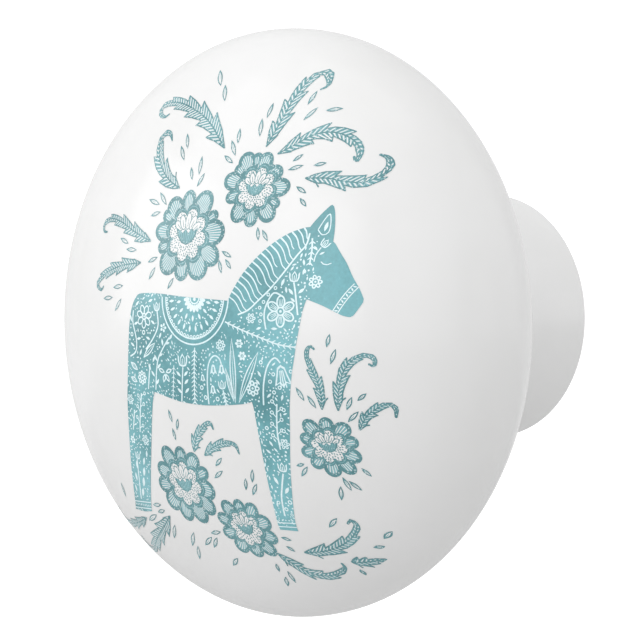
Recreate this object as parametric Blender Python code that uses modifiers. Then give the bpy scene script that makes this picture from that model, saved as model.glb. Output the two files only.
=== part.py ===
"""A glazed ceramic cabinet knob with its cemented brass insert, screw and washer.

Frame: metres, +Z up. The origin is the middle of the foot face that rests on the
door. The knob stands out along -Y, and the door would fill the side of +Y.
Every piece is drawn standing on its foot, with its height along +Z, under an empty
that lays the knob over onto -Y. Heights below the foot are on the door's side.
"""

import math

import bmesh
import bpy
from mathutils import Matrix

MM = 0.001
GAP = 0.3 * MM  # between pieces that touch on the real knob

# Ceramic body: a domed head on a waisted shank
HEAD_RADIUS = 19.0 * MM
RIM_HEIGHT = 19.7 * MM  # height of the head's widest circle above the foot
FRONT_DEPTH = 11.0 * MM  # from the widest circle out to the middle of the face
BACK_DEPTH = 9.75 * MM  # the same curve behind the head, if it ran on to the axis
FRONT_EXPONENT = 2.0
BACK_EXPONENT = 2.2
BLEND_RADIUS = 11.0 * MM  # where the head's back starts to blend into the shank
NECK_RADIUS = 7.7 * MM
NECK_HEIGHT = 7.0 * MM
FOOT_RADIUS = 8.45 * MM
FOOT_ROUND = 0.7 * MM

# Socket in the foot, with a ring groove that keys the cement
SOCKET_RADIUS = 5.2 * MM
SOCKET_DEPTH = 13.6 * MM
SOCKET_CHAMFER = 0.3 * MM
KEY_DEPTH = 0.4 * MM
KEY_LOW = 5.0 * MM
KEY_HIGH = 7.8 * MM
CORE_RADIUS = 2.6 * MM
CORE_DEPTH = 24.0 * MM
CORE_POINT = 0.6 * MM
CEMENT_LOW = 0.8 * MM

# Brass insert
INSERT_RADIUS = 3.3 * MM
INSERT_LOW = 1.0 * MM
INSERT_LENGTH = 12.0 * MM
INSERT_CHAMFER = 0.25 * MM
GROOVE_RADIUS = 2.75 * MM
GROOVE_LOW = 5.6 * MM
GROOVE_HIGH = 8.4 * MM
KNURL_DEPTH = 0.2 * MM
COUNTERSINK = 0.5 * MM

# M4 thread
PITCH = 0.7 * MM
THREAD_RADIUS = 1.98 * MM
THREAD_ROOT = 1.6 * MM
CREST_WIDTH = PITCH / 8
FLANK = math.tan(math.radians(30))
THREAD_PLAY = 0.15 * MM  # radial play at crest and root
FLANK_PLAY = 0.08 * MM  # axial play on each flank

# Screw and washer, run in until the washer meets the foot
WASHER_HOLE = 2.15 * MM
WASHER_RADIUS = 4.5 * MM
WASHER_THICKNESS = 0.8 * MM
WASHER_EDGE = 0.1 * MM
SCREW_LENGTH = 25.0 * MM
SCREW_POINT = 0.65 * MM
PAN_RADIUS = 4.0 * MM
PAN_HEIGHT = 3.1 * MM
PAN_SIDE = 1.5 * MM
PAN_EDGE = 0.1 * MM
RECESS_SPAN = 4.4 * MM
RECESS_SLOT = 1.1 * MM
RECESS_DEPTH = 2.0 * MM
RECESS_TAPER = 0.45  # width at the bottom of the recess, as a share of its mouth
WASHER_TOP = -GAP
WASHER_LOW = WASHER_TOP - WASHER_THICKNESS
HEAD_SEAT = WASHER_LOW - GAP

# Facets
BODY_STEPS = 48
SLEEVE_STEPS = 24
KNURL_STEPS = 40
THREAD_STEPS = 12
DOME_POINTS = 12
BACK_POINTS = 7
CURVE_POINTS = 5


def clear_scene():
    for obj in list(bpy.data.objects):
        bpy.data.objects.remove(obj, do_unlink=True)


def collection(name):
    group = bpy.data.collections.new(name)
    bpy.context.scene.collection.children.link(group)
    return group


def principled(name, colour, roughness, metallic=0.0):
    material = bpy.data.materials.new(name)
    material.use_nodes = True
    shader = material.node_tree.nodes["Principled BSDF"]
    shader.inputs["Base Color"].default_value = (*colour, 1.0)
    shader.inputs["Roughness"].default_value = roughness
    shader.inputs["Metallic"].default_value = metallic
    material.diffuse_color = (*colour, 1.0)
    return material


def turned(name, outline, steps, home, ring=False):
    """Turns (radius, height) points about Z, from the top down the outer side."""
    points = [(radius, 0.0, height) for radius, height in outline]
    edges = [(i, i + 1) for i in range(len(points) - 1)]
    if ring:
        edges.append((len(points) - 1, 0))
    mesh = bpy.data.meshes.new(name)
    mesh.from_pydata(points, edges, [])
    obj = bpy.data.objects.new(name, mesh)
    home.objects.link(obj)
    turn = obj.modifiers.new("Turn", "SCREW")
    turn.axis = "Z"
    turn.steps = turn.render_steps = steps
    turn.use_merge_vertices = True
    turn.merge_threshold = 0.00001
    return obj


def applied(obj):
    """Replaces the object's mesh with the one that its modifiers make."""
    graph = bpy.context.evaluated_depsgraph_get()
    mesh = bpy.data.meshes.new_from_object(obj.evaluated_get(graph))
    obj.modifiers.clear()
    obj.data = mesh
    return mesh


def boolean(obj, tool, operation):
    modifier = obj.modifiers.new(tool.name, "BOOLEAN")
    modifier.operation = operation
    modifier.object = tool
    modifier.solver = "EXACT"


def cutter(obj):
    obj.hide_render = True
    obj.display_type = "WIRE"
    return obj


def smooth(obj, angle):
    """Fixes the object's modifiers and shades it smooth, but for edges past angle."""
    mesh = applied(obj)
    mesh.shade_smooth()
    mesh.set_sharp_from_angle(angle=math.radians(angle))


def thread_rod(name, root, crest, crest_width, phase, low, high, home):
    """A closed right-hand thread over low to high, with a crest at height phase."""
    flank = (crest - root) * FLANK
    first = phase + flank + crest_width / 2
    first -= PITCH * math.ceil((first - low) / PITCH)
    tooth = [
        (root, PITCH),
        (crest, PITCH - flank),
        (crest, PITCH - flank - crest_width),
        (root, PITCH - 2 * flank - crest_width),
        (root, 0.0),
    ]
    outline = [(radius, first + height) for radius, height in tooth]
    rod = turned(name, outline, THREAD_STEPS, home)
    turn = rod.modifiers["Turn"]
    turn.screw_offset = PITCH
    turn.iterations = math.ceil((high - first) / PITCH)
    mesh = applied(rod)
    work = bmesh.new()
    work.from_mesh(mesh)
    bmesh.ops.remove_doubles(work, verts=work.verts, dist=0.000002)
    edges = [edge for edge in work.edges if edge.is_boundary]
    ends = bmesh.ops.holes_fill(work, edges=edges, sides=0)["faces"]
    bmesh.ops.poke(work, faces=ends)
    bmesh.ops.recalc_face_normals(work, faces=work.faces)
    work.to_mesh(mesh)
    work.free()
    return rod


def head_curve(depth, exponent, start, end, count):
    """(radius, rise) points of one side of the head, by the angle off its axis."""
    points = []
    for i in range(count + 1):
        angle = start + (end - start) * i / count
        radius = HEAD_RADIUS * math.sin(angle) ** (2 / exponent)
        points.append((radius, depth * math.cos(angle) ** (2 / exponent)))
    return points


def blend(start, corner, end, count):
    """Points of a quadratic curve from start to end, both ends aimed at corner."""
    points = []
    for i in range(1, count + 1):
        t = i / count
        weights = ((1 - t) ** 2, 2 * t * (1 - t), t * t)
        points.append(
            tuple(
                sum(w * p[axis] for w, p in zip(weights, (start, corner, end)))
                for axis in (0, 1)
            )
        )
    return points


def body_outline():
    dome = head_curve(FRONT_DEPTH, FRONT_EXPONENT, 0.0, math.pi / 2, DOME_POINTS)
    outline = [(radius, RIM_HEIGHT + rise) for radius, rise in dome]
    last = math.asin((BLEND_RADIUS / HEAD_RADIUS) ** (BACK_EXPONENT / 2))
    back = head_curve(BACK_DEPTH, BACK_EXPONENT, math.pi / 2, last, BACK_POINTS)
    outline += [(radius, RIM_HEIGHT - rise) for radius, rise in back[1:]]
    (r0, z0), (r1, z1) = outline[-2:]
    corner = (NECK_RADIUS, z1 + (z1 - z0) * (NECK_RADIUS - r1) / (r1 - r0))
    outline += blend((r1, z1), corner, (NECK_RADIUS, NECK_HEIGHT), CURVE_POINTS)
    for i in range(1, CURVE_POINTS):
        height = NECK_HEIGHT + (FOOT_ROUND - NECK_HEIGHT) * i / (CURVE_POINTS - 1)
        flare = (FOOT_RADIUS - NECK_RADIUS) * (1 - height / NECK_HEIGHT) ** 2
        outline.append((NECK_RADIUS + flare, height))
    edge = outline[-1][0] - FOOT_ROUND
    for angle in (30, 60, 90):
        turn = math.radians(angle)
        radius = edge + FOOT_ROUND * math.cos(turn)
        outline.append((radius, FOOT_ROUND * (1 - math.sin(turn))))
    return outline


def socket_outline():
    key = SOCKET_RADIUS + KEY_DEPTH
    return [
        (SOCKET_RADIUS + SOCKET_CHAMFER, 0.0),
        (SOCKET_RADIUS, SOCKET_CHAMFER),
        (SOCKET_RADIUS, KEY_LOW),
        (key, KEY_LOW + KEY_DEPTH),
        (key, KEY_HIGH - KEY_DEPTH),
        (SOCKET_RADIUS, KEY_HIGH),
        (SOCKET_RADIUS, SOCKET_DEPTH),
        (CORE_RADIUS, SOCKET_DEPTH),
        (CORE_RADIUS, CORE_DEPTH),
        (0.0, CORE_DEPTH + CORE_POINT),
    ]


def knob_body(home):
    body = turned("knob_body", body_outline() + socket_outline(), BODY_STEPS, home)
    smooth(body, 35)
    return body


def cement_bed(home):
    """The sleeve of cement between the socket and the insert, filling both grooves."""
    outer = SOCKET_RADIUS - GAP
    inner = INSERT_RADIUS + GAP
    key = outer + KEY_DEPTH
    grip = GROOVE_RADIUS + GAP
    high = INSERT_LOW + INSERT_LENGTH
    step = inner - grip
    outline = [
        (inner, high),
        (outer, high),
        (outer, KEY_HIGH - GAP),
        (key, KEY_HIGH - KEY_DEPTH - GAP),
        (key, KEY_LOW + KEY_DEPTH + GAP),
        (outer, KEY_LOW + GAP),
        (outer, CEMENT_LOW),
        (inner, CEMENT_LOW),
        (inner, GROOVE_LOW + GAP),
        (grip, GROOVE_LOW + GAP + step),
        (grip, GROOVE_HIGH - GAP - step),
        (inner, GROOVE_HIGH - GAP),
    ]
    bed = turned("cement_bed", outline, SLEEVE_STEPS, home, ring=True)
    smooth(bed, 35)
    return bed


def insert_outline():
    high = INSERT_LOW + INSERT_LENGTH
    edge = INSERT_RADIUS - INSERT_CHAMFER
    mouth = THREAD_RADIUS + THREAD_PLAY + INSERT_CHAMFER
    slope = INSERT_RADIUS - GROOVE_RADIUS
    return [
        (0.0, high - COUNTERSINK),
        (mouth - COUNTERSINK, high - COUNTERSINK),
        (mouth, high),
        (edge, high),
        (INSERT_RADIUS, high - INSERT_CHAMFER),
        (INSERT_RADIUS, GROOVE_HIGH),
        (GROOVE_RADIUS, GROOVE_HIGH - slope),
        (GROOVE_RADIUS, GROOVE_LOW + slope),
        (INSERT_RADIUS, GROOVE_LOW),
        (INSERT_RADIUS, INSERT_LOW + INSERT_CHAMFER),
        (edge, INSERT_LOW),
        (mouth, INSERT_LOW),
        (mouth - COUNTERSINK, INSERT_LOW + COUNTERSINK),
        (0.0, INSERT_LOW + COUNTERSINK),
    ]


def knurl(mesh, steps):
    """Pulls every other line of the bands inward, which leaves straight teeth."""
    for vertex in mesh.vertices:
        x, y, _ = vertex.co
        radius = math.hypot(x, y)
        line = round(math.atan2(y, x) / (2 * math.pi / steps))
        if line % 2 and radius > INSERT_RADIUS - KNURL_DEPTH:
            shrink = (INSERT_RADIUS - KNURL_DEPTH) / radius
            vertex.co.x *= shrink
            vertex.co.y *= shrink


def threaded_insert(home, cutters):
    insert = turned("threaded_insert", insert_outline(), KNURL_STEPS, home)
    knurl(applied(insert), KNURL_STEPS)
    root = THREAD_ROOT + THREAD_PLAY
    crest = THREAD_RADIUS + THREAD_PLAY
    crest_width = CREST_WIDTH + 2 * (FLANK_PLAY - THREAD_PLAY * FLANK)
    low = INSERT_LOW - PITCH
    high = INSERT_LOW + INSERT_LENGTH + PITCH
    tap = thread_rod("insert_tap", root, crest, crest_width, 0.0, low, high, cutters)
    smooth(insert, 30)
    boolean(insert, cutter(tap), "DIFFERENCE")
    return insert


def recess_wing(name, angle, home):
    """One arm of the cross recess: a slot that narrows towards its bottom."""
    square = Matrix.Rotation(math.pi / 4, 4, "Z")
    size = Matrix.Diagonal((RECESS_SPAN, RECESS_SLOT, RECESS_DEPTH * math.sqrt(2), 1.0))
    work = bmesh.new()
    bmesh.ops.create_cone(
        work,
        cap_ends=True,
        segments=4,
        radius1=2 - RECESS_TAPER,
        radius2=RECESS_TAPER,
        depth=2.0,
        matrix=size @ Matrix.Scale(1 / math.sqrt(2), 4) @ square,
    )
    mesh = bpy.data.meshes.new(name)
    work.to_mesh(mesh)
    work.free()
    wing = bpy.data.objects.new(name, mesh)
    home.objects.link(wing)
    wing.location.z = HEAD_SEAT - PAN_HEIGHT
    wing.rotation_euler.z = angle
    return cutter(wing)


def pan_outline():
    """The screw's head, below its seat: a short side wall under a domed crown."""
    outline = [(0.0, 0.0), (PAN_RADIUS - PAN_EDGE, 0.0), (PAN_RADIUS, -PAN_EDGE)]
    crown = PAN_HEIGHT - PAN_SIDE
    for i in range(CURVE_POINTS + 1):
        angle = math.pi / 2 * i / CURVE_POINTS
        height = -PAN_SIDE - crown * math.sin(angle)
        outline.append((PAN_RADIUS * math.cos(angle), height))
    outline[-1] = (0.0, -PAN_HEIGHT)
    return outline


def mounting_screw(home, cutters):
    """Drawn about its seat, the underside of its head, which is also its origin."""
    bite = PITCH  # how far the threaded rod runs on into the head
    screw = thread_rod(
        "mounting_screw",
        THREAD_ROOT,
        THREAD_RADIUS,
        CREST_WIDTH,
        -HEAD_SEAT,
        -2 * bite,
        SCREW_LENGTH + PITCH,
        home,
    )
    clear = THREAD_RADIUS + FLANK_PLAY
    blank = [
        (0.0, SCREW_LENGTH),
        (THREAD_RADIUS - SCREW_POINT, SCREW_LENGTH),
        (clear, SCREW_LENGTH - SCREW_POINT - FLANK_PLAY),
        (clear, -bite),
        (0.0, -bite),
    ]
    trim = cutter(turned("screw_trim", blank, SLEEVE_STEPS, cutters))
    head = cutter(turned("screw_pan", pan_outline(), SLEEVE_STEPS, cutters))
    smooth(screw, 30)
    smooth(head, 30)
    for piece in (screw, trim, head):
        piece.location.z = HEAD_SEAT
    boolean(screw, trim, "INTERSECT")
    boolean(screw, head, "UNION")
    for i in range(2):
        wing = recess_wing(f"screw_recess_{i + 1}", i * math.pi / 2, cutters)
        boolean(screw, wing, "DIFFERENCE")
    return screw


def flat_washer(home):
    outline = [
        (WASHER_HOLE, WASHER_TOP),
        (WASHER_RADIUS - WASHER_EDGE, WASHER_TOP),
        (WASHER_RADIUS, WASHER_TOP - WASHER_EDGE),
        (WASHER_RADIUS, WASHER_LOW + WASHER_EDGE),
        (WASHER_RADIUS - WASHER_EDGE, WASHER_LOW),
        (WASHER_HOLE, WASHER_LOW),
    ]
    washer = turned("flat_washer", outline, SLEEVE_STEPS, home, ring=True)
    smooth(washer, 30)
    return washer


def main():
    clear_scene()
    knob = collection("Ceramic_knob")
    cutters = collection("Cutters")
    axis = bpy.data.objects.new("knob_axis", None)
    axis.rotation_euler.x = math.pi / 2
    knob.objects.link(axis)

    glaze = principled("white_glaze", (0.84, 0.85, 0.85), 0.12)
    cement = principled("grey_cement", (0.42, 0.40, 0.37), 0.9)
    brass = principled("brass", (0.72, 0.53, 0.25), 0.35, 1.0)
    zinc = principled("zinc_plate", (0.62, 0.63, 0.65), 0.35, 1.0)

    finishes = (
        (knob_body(knob), glaze),
        (cement_bed(knob), cement),
        (threaded_insert(knob, cutters), brass),
        (flat_washer(knob), zinc),
        (mounting_screw(knob, cutters), zinc),
    )
    for piece, finish in finishes:
        piece.data.materials.clear()
        piece.data.materials.append(finish)
    for obj in list(knob.objects) + list(cutters.objects):
        if obj is not axis:
            obj.parent = axis


main()
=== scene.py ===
import math
import random

import bmesh
import bpy
from mathutils import Matrix, Vector
from mathutils.geometry import delaunay_2d_cdt


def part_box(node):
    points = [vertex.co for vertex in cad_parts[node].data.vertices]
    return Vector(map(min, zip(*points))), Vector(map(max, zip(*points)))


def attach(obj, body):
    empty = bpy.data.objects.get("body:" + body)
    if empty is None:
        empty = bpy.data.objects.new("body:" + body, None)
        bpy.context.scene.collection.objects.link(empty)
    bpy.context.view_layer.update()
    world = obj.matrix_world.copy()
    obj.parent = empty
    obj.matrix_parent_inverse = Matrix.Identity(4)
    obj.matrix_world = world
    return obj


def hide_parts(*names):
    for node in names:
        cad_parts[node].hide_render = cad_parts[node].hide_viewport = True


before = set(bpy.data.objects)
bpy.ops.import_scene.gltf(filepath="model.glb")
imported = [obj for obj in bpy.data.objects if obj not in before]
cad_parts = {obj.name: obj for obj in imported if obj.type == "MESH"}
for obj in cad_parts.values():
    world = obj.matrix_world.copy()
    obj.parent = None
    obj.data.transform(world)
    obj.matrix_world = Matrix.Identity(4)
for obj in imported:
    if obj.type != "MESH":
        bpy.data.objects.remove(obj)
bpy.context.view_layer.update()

# The looks of a ceramic cabinet knob with a printed folk picture. It stands out from a
# door along -Y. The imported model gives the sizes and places. Drawings are in
# millimetres on the knob's face: x to the right, z up, from the knob's axis.

MM = 0.001
TINY = 1e-7
BODY_LOW, BODY_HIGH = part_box("knob_body")
HEAD_RADIUS = (BODY_HIGH[0] - BODY_LOW[0]) / 2
FACE_Y = BODY_LOW[1]
FRONT_DEPTH = 11.0 * MM
RIM_Y = FACE_Y + FRONT_DEPTH


# Face of the dome


def dome_point(x, z, proud=0.0):
    """The point of the dome in front of (x, z), in metres, and the dome's normal there."""
    share = math.sqrt(max(0.0, 1 - (x * x + z * z) / HEAD_RADIUS**2))
    y = RIM_Y - FRONT_DEPTH * share
    normal = Vector((x / HEAD_RADIUS**2, (y - RIM_Y) / FRONT_DEPTH**2, z / HEAD_RADIUS**2))
    normal.normalize()
    return Vector((x, y, z)) + normal * proud, normal


def add_object(name, data):
    """A new object in the scene."""
    obj = bpy.data.objects.new(name, data)
    bpy.context.scene.collection.objects.link(obj)
    return obj


# Turned pieces


def turn(name, outline, steps, material_of=None, closed=False):
    """Turns (radius, y) points about the Y axis. A point on the axis closes the end."""
    verts = []
    faces = []
    slots = []
    rings = []
    for radius, y in outline:
        if radius < TINY:
            rings.append([len(verts)])
            verts.append((0.0, y, 0.0))
            continue
        rings.append(list(range(len(verts), len(verts) + steps)))
        for i in range(steps):
            angle = 2 * math.pi * i / steps
            verts.append((radius * math.sin(angle), y, radius * math.cos(angle)))
    for row in range(len(rings) - (0 if closed else 1)):
        a, b = rings[row], rings[(row + 1) % len(rings)]
        for i in range(steps):
            j = (i + 1) % steps
            if len(a) == 1:
                face = (a[0], b[i], b[j])
            elif len(b) == 1:
                face = (a[i], b[0], a[j])
            else:
                face = (a[i], b[i], b[j], a[j])
            faces.append(face)
            slots.append(material_of(row) if material_of else 0)
    mesh = bpy.data.meshes.new(name)
    mesh.from_pydata(verts, [], faces)
    mesh.polygons.foreach_set("material_index", slots)
    work = bmesh.new()
    work.from_mesh(mesh)
    bmesh.ops.recalc_face_normals(work, faces=work.faces)
    work.to_mesh(mesh)
    work.free()
    mesh.shade_smooth()
    mesh.set_sharp_from_angle(angle=math.radians(35))
    return add_object(name, mesh)


def superellipse(radius, depth, exponent, start, end, count):
    """(across, up) of points on a quarter of a rounded shape, between two angles."""
    points = []
    for i in range(count + 1):
        angle = start + (end - start) * i / count
        across = math.sin(angle) ** (2 / exponent)
        points.append((radius * across, depth * max(0.0, math.cos(angle)) ** (2 / exponent)))
    return points


def round_corner(start, corner, end, steps):
    """Points of a curve from start to end that bends at the corner."""
    points = []
    for i in range(steps + 1):
        t = i / steps
        weights = (1 - t) ** 2, 2 * t * (1 - t), t * t
        both = zip(*(start, corner, end))
        points.append(tuple(sum(w * v for w, v in zip(weights, values)) for values in both))
    return points


# (radius, y) in millimetres from the foot ring's inner edge, down the socket with its key
# groove, to the end of the screw's bore.
SOCKET = [(5.9, -0.0), (5.5, 0.0), (5.2, -0.3), (5.2, -5.0), (5.6, -5.4), (5.6, -7.4),
          (5.2, -7.8), (5.2, -13.6), (2.6, -13.6), (2.6, -24.0), (0.0, -24.6)]


def knob_outline():
    """(radius, y) of the knob from the middle of its face to the bottom of its socket.

    Also how many of the rings of faces are glazed."""
    back_depth, back_exponent = 9.75 * MM, 2.2
    blend_radius, neck, neck_y = 11.0 * MM, 7.7 * MM, -7.0 * MM
    foot, edge = 8.45 * MM, 0.7 * MM
    front = superellipse(HEAD_RADIUS, FRONT_DEPTH, 2.0, 0.0, math.pi / 2, 96)
    outline = [(r, RIM_Y - rise) for r, rise in front]
    last = math.asin((blend_radius / HEAD_RADIUS) ** (back_exponent / 2))
    back = superellipse(HEAD_RADIUS, back_depth, back_exponent, math.pi / 2, last, 48)
    outline += [(r, RIM_Y + rise) for r, rise in back[1:]]
    (r0, y0), (r1, y1) = outline[-2:]
    corner = (neck, y1 + (y1 - y0) * (neck - r1) / (r1 - r0))
    outline += round_corner((r1, y1), corner, (neck, neck_y), 16)[1:]
    for i in range(1, 17):
        y = neck_y + (-edge - neck_y) * i / 16
        outline.append((neck + (foot - neck) * (1 - y / neck_y) ** 2, y))
    rim = outline[-1][0] - edge
    for i in range(1, 9):
        angle = math.pi / 2 * i / 8
        outline.append((rim + edge * math.cos(angle), -edge * (1 - math.sin(angle))))
    glazed = len(outline) - 1
    outline += [(radius * MM, y * MM) for radius, y in SOCKET]
    return outline, glazed


def rounded(corners, radius):
    """A closed outline with its corners rounded."""
    points = []
    for before, corner, after in zip(corners[-1:] + corners[:-1], corners, corners[1:] + corners[:1]):
        ends = []
        for other in (before, after):
            share = radius / math.dist(corner, other)
            ends.append([c + (o - c) * share for c, o in zip(corner, other)])
        points += round_corner(ends[0], corner, ends[1], 4)
    return points


def washer():
    low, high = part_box("flat_washer")
    hole, rim, edge = 2.15 * MM, high[0], 0.14 * MM
    corners = [(hole, low[1]), (rim, low[1]), (rim, high[1]), (hole, high[1])]
    ring = turn("plain_washer", rounded(corners, edge), 128, closed=True)
    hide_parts("flat_washer")
    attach(ring, "washer")
    return ring


PITCH = 0.7 * MM
THREAD_ROOT = 1.6 * MM
THREAD_CREST = 1.98 * MM
CREST_AT = 0.75  # of a pitch, where the thread's crest passes +Z


def thread(tip_y, end_y):
    """A right-hand threaded rod with chamfered ends."""
    steps = 64
    chamfer = 0.65 * MM
    tooth = [(-0.376, THREAD_ROOT), (-0.085, THREAD_CREST - 0.03 * MM), (-0.045, THREAD_CREST),
             (0.045, THREAD_CREST), (0.085, THREAD_CREST - 0.03 * MM), (0.376, THREAD_ROOT)]
    tip = THREAD_CREST - chamfer
    first = math.floor(tip_y / PITCH) - 2
    turns = math.ceil((end_y - tip_y) / PITCH) + 4
    rows = turns * len(tooth)
    verts = []
    for i in range(steps):
        angle = 2 * math.pi * i / steps
        for row in range(rows):
            offset, radius = tooth[row % len(tooth)]
            y = PITCH * (CREST_AT + offset + first + row // len(tooth) + i / steps)
            y = min(max(y, tip_y), end_y)
            radius = min(radius, tip + min(y - tip_y, end_y - y))
            verts.append((radius * math.sin(angle), y, radius * math.cos(angle)))
    faces = []
    for i in range(steps):
        ahead = 0 if i + 1 < steps else len(tooth)
        j = (i + 1) % steps
        for row in range(rows - 1 - ahead):
            a, b = i * rows + row, j * rows + row + ahead
            faces.append((a, b, b + 1, a + 1))
    mesh = bpy.data.meshes.new("thread")
    mesh.from_pydata(verts, [], faces)
    return mesh


def recess_arm(name, top, turn_angle):
    """One arm of the cross recess, which narrows towards its bottom."""
    above, deep, taper = 0.6, 2.0, 0.55
    wide, long = 1.1 * MM, 4.4 * MM
    work = bmesh.new()
    rings = []
    for depth in (-above, deep):
        share = 1 - taper * depth / deep
        across, along_arm = wide * share / 2, long * share / 2
        rings.append([
            work.verts.new((a * along_arm, top - depth * MM, b * across))
            for a, b in ((-1, -1), (1, -1), (1, 1), (-1, 1))
        ])
    upper, lower = rings
    work.faces.new(upper)
    work.faces.new(lower)
    for i in range(4):
        work.faces.new((upper[i], upper[i - 1], lower[i - 1], lower[i]))
    bmesh.ops.rotate(work, verts=work.verts, matrix=Matrix.Rotation(turn_angle, 3, "Y"))
    bmesh.ops.recalc_face_normals(work, faces=work.faces)
    mesh = bpy.data.meshes.new(name)
    work.to_mesh(mesh)
    work.free()
    return add_object(name, mesh)


def bake_modifiers(obj):
    graph = bpy.context.evaluated_depsgraph_get()
    mesh = bpy.data.meshes.new_from_object(obj.evaluated_get(graph))
    obj.modifiers.clear()
    obj.data = mesh


def screw_head(seat):
    """The pan head with its cross recess. seat: the y of its underside."""
    radius, height, side, ease = 4.0 * MM, 3.1 * MM, 1.5 * MM, 0.12 * MM
    steps = 32
    outline = [(0.0, seat), (radius - ease, seat), (radius, seat + ease)]
    for i in range(steps + 1):
        angle = math.pi / 2 * i / steps
        outline.append((radius * math.cos(angle), seat + side + (height - side) * math.sin(angle)))
    outline[-1] = (0.0, seat + height)
    head = turn("machine_screw", outline, 96)
    arms = [recess_arm(f"recess_{i}", seat + height, i * math.pi / 2) for i in range(2)]
    for arm in arms:
        cut = head.modifiers.new("Recess", "BOOLEAN")
        cut.operation = "DIFFERENCE"
        cut.solver = "EXACT"
        cut.object = arm
    soften = head.modifiers.new("Soft edges", "BEVEL")
    soften.width = 0.05 * MM
    soften.segments = 2
    soften.limit_method = "ANGLE"
    soften.angle_limit = math.radians(40)
    bake_modifiers(head)
    for arm in arms:
        bpy.data.objects.remove(arm)
    return head


def screw():
    tip_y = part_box("mounting_screw")[0][1]
    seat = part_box("flat_washer")[1][1] + 0.3 * MM
    inside_head = 0.8 * MM
    head = screw_head(seat)
    work = bmesh.new()
    work.from_mesh(thread(tip_y, seat + inside_head))
    bmesh.ops.remove_doubles(work, verts=work.verts, dist=TINY)
    bmesh.ops.dissolve_degenerate(work, edges=work.edges, dist=TINY)
    rims = [edge for edge in work.edges if edge.is_boundary]
    bmesh.ops.holes_fill(work, edges=rims, sides=0)
    work.from_mesh(head.data)
    bmesh.ops.recalc_face_normals(work, faces=work.faces)
    work.to_mesh(head.data)
    work.free()
    head.data.shade_smooth()
    head.data.set_sharp_from_angle(angle=math.radians(32))
    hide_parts("mounting_screw")
    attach(head, "screw")
    return head


# Materials


def feed(tree, node, **values):
    """Links or sets the node's inputs. An underscore stands for a space in a name."""
    for name, value in values.items():
        socket = node.inputs[name.replace("_", " ")]
        if isinstance(value, bpy.types.NodeSocket):
            tree.links.new(value, socket)
        else:
            socket.default_value = value


def add_node(tree, kind, **values):
    node = tree.nodes.new("ShaderNode" + kind)
    feed(tree, node, **values)
    return node


def node_material(name):
    material = bpy.data.materials.new(name)
    material.use_nodes = True
    tree = material.node_tree
    shader = tree.nodes["Principled BSDF"]
    return material, tree, shader, add_node(tree, "TexCoord").outputs["Object"]


def noise(tree, place, scale, detail=4.0, roughness=0.55, distortion=0.0):
    node = add_node(tree, "TexNoise", Vector=place, Scale=scale, Detail=detail,
                    Roughness=roughness, Distortion=distortion)
    return node.outputs["Fac"]


def ramp(tree, value, stops):
    """stops: (position, colour) pairs; the colours are linear RGB."""
    node = add_node(tree, "ValToRGB", Fac=value)
    elements = node.color_ramp.elements
    while len(elements) < len(stops):
        elements.new(0.5)
    for element, (position, colour) in zip(elements, stops):
        element.position = position
        element.color = (*colour, 1.0)
    return node.outputs["Color"]


def remap(tree, value, low, high, to_low, to_high):
    node = add_node(tree, "MapRange", Value=value, From_Min=low, From_Max=high,
                    To_Min=to_low, To_Max=to_high)
    return node.outputs["Result"]


def product(tree, first, second):
    node = tree.nodes.new("ShaderNodeMath")
    node.operation = "MULTIPLY"
    tree.links.new(first, node.inputs[0])
    tree.links.new(second, node.inputs[1])
    return node.outputs["Value"]


def mix(tree, factor, first, second, blend="MIX"):
    node = tree.nodes.new("ShaderNodeMix")
    node.data_type = "RGBA"
    node.blend_type = blend
    sockets = {s.identifier: s for s in node.inputs}
    for key, value in (("Factor_Float", factor), ("A_Color", first), ("B_Color", second)):
        if isinstance(value, bpy.types.NodeSocket):
            tree.links.new(value, sockets[key])
        else:
            sockets[key].default_value = (*value, 1.0) if isinstance(value, tuple) else value
    return next(s for s in node.outputs if s.identifier == "Result_Color")


def bump(tree, shader, height, distance, strength):
    node = add_node(tree, "Bump", Strength=strength, Distance=distance, Height=height)
    feed(tree, shader, Normal=node.outputs["Normal"])


def cells(tree, place, scale):
    return add_node(tree, "TexVoronoi", Vector=place, Scale=scale).outputs["Distance"]


def linear(red, green, blue):
    """Linear RGB of a colour given as it shows on a screen, from 0 to 255."""
    def one(c):
        c /= 255
        return c / 12.92 if c <= 0.04045 else ((c + 0.055) / 1.055) ** 2.4
    return one(red), one(green), one(blue)


def glaze_finish(tree, shader):
    feed(tree, shader, IOR=1.52, Coat_Weight=0.2, Coat_Roughness=0.12)


def white_glaze():
    material, tree, shader, place = node_material("white_glaze")
    cloud = noise(tree, place, 90.0, 3.0)
    tone = ramp(tree, cloud, [(0.3, (0.80, 0.80, 0.795)), (0.7, (0.84, 0.84, 0.84))])
    speck = remap(tree, cells(tree, place, 210.0), 0.012, 0.03, 1.0, 0.0)
    few = remap(tree, noise(tree, place, 130.0, 0.0), 0.66, 0.68, 0.0, 0.55)
    colour = mix(tree, product(tree, speck, few), tone, linear(150, 150, 148))
    rough = remap(tree, noise(tree, place, 500.0, 2.0), 0.3, 0.7, 0.19, 0.25)
    feed(tree, shader, Base_Color=colour, Roughness=rough)
    peel = noise(tree, place, 320.0, 2.0)
    bump(tree, shader, peel, 0.00004, 0.35)
    glaze_finish(tree, shader)
    return material


def bisque():
    material, tree, shader, place = node_material("bare_ceramic")
    grain = noise(tree, place, 4000.0, 3.0, 0.7)
    colour = ramp(tree, grain, [(0.3, linear(206, 202, 194)), (0.7, linear(228, 225, 219))])
    feed(tree, shader, Base_Color=colour, Roughness=0.85)
    bump(tree, shader, grain, 0.00005, 0.8)
    return material


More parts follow.
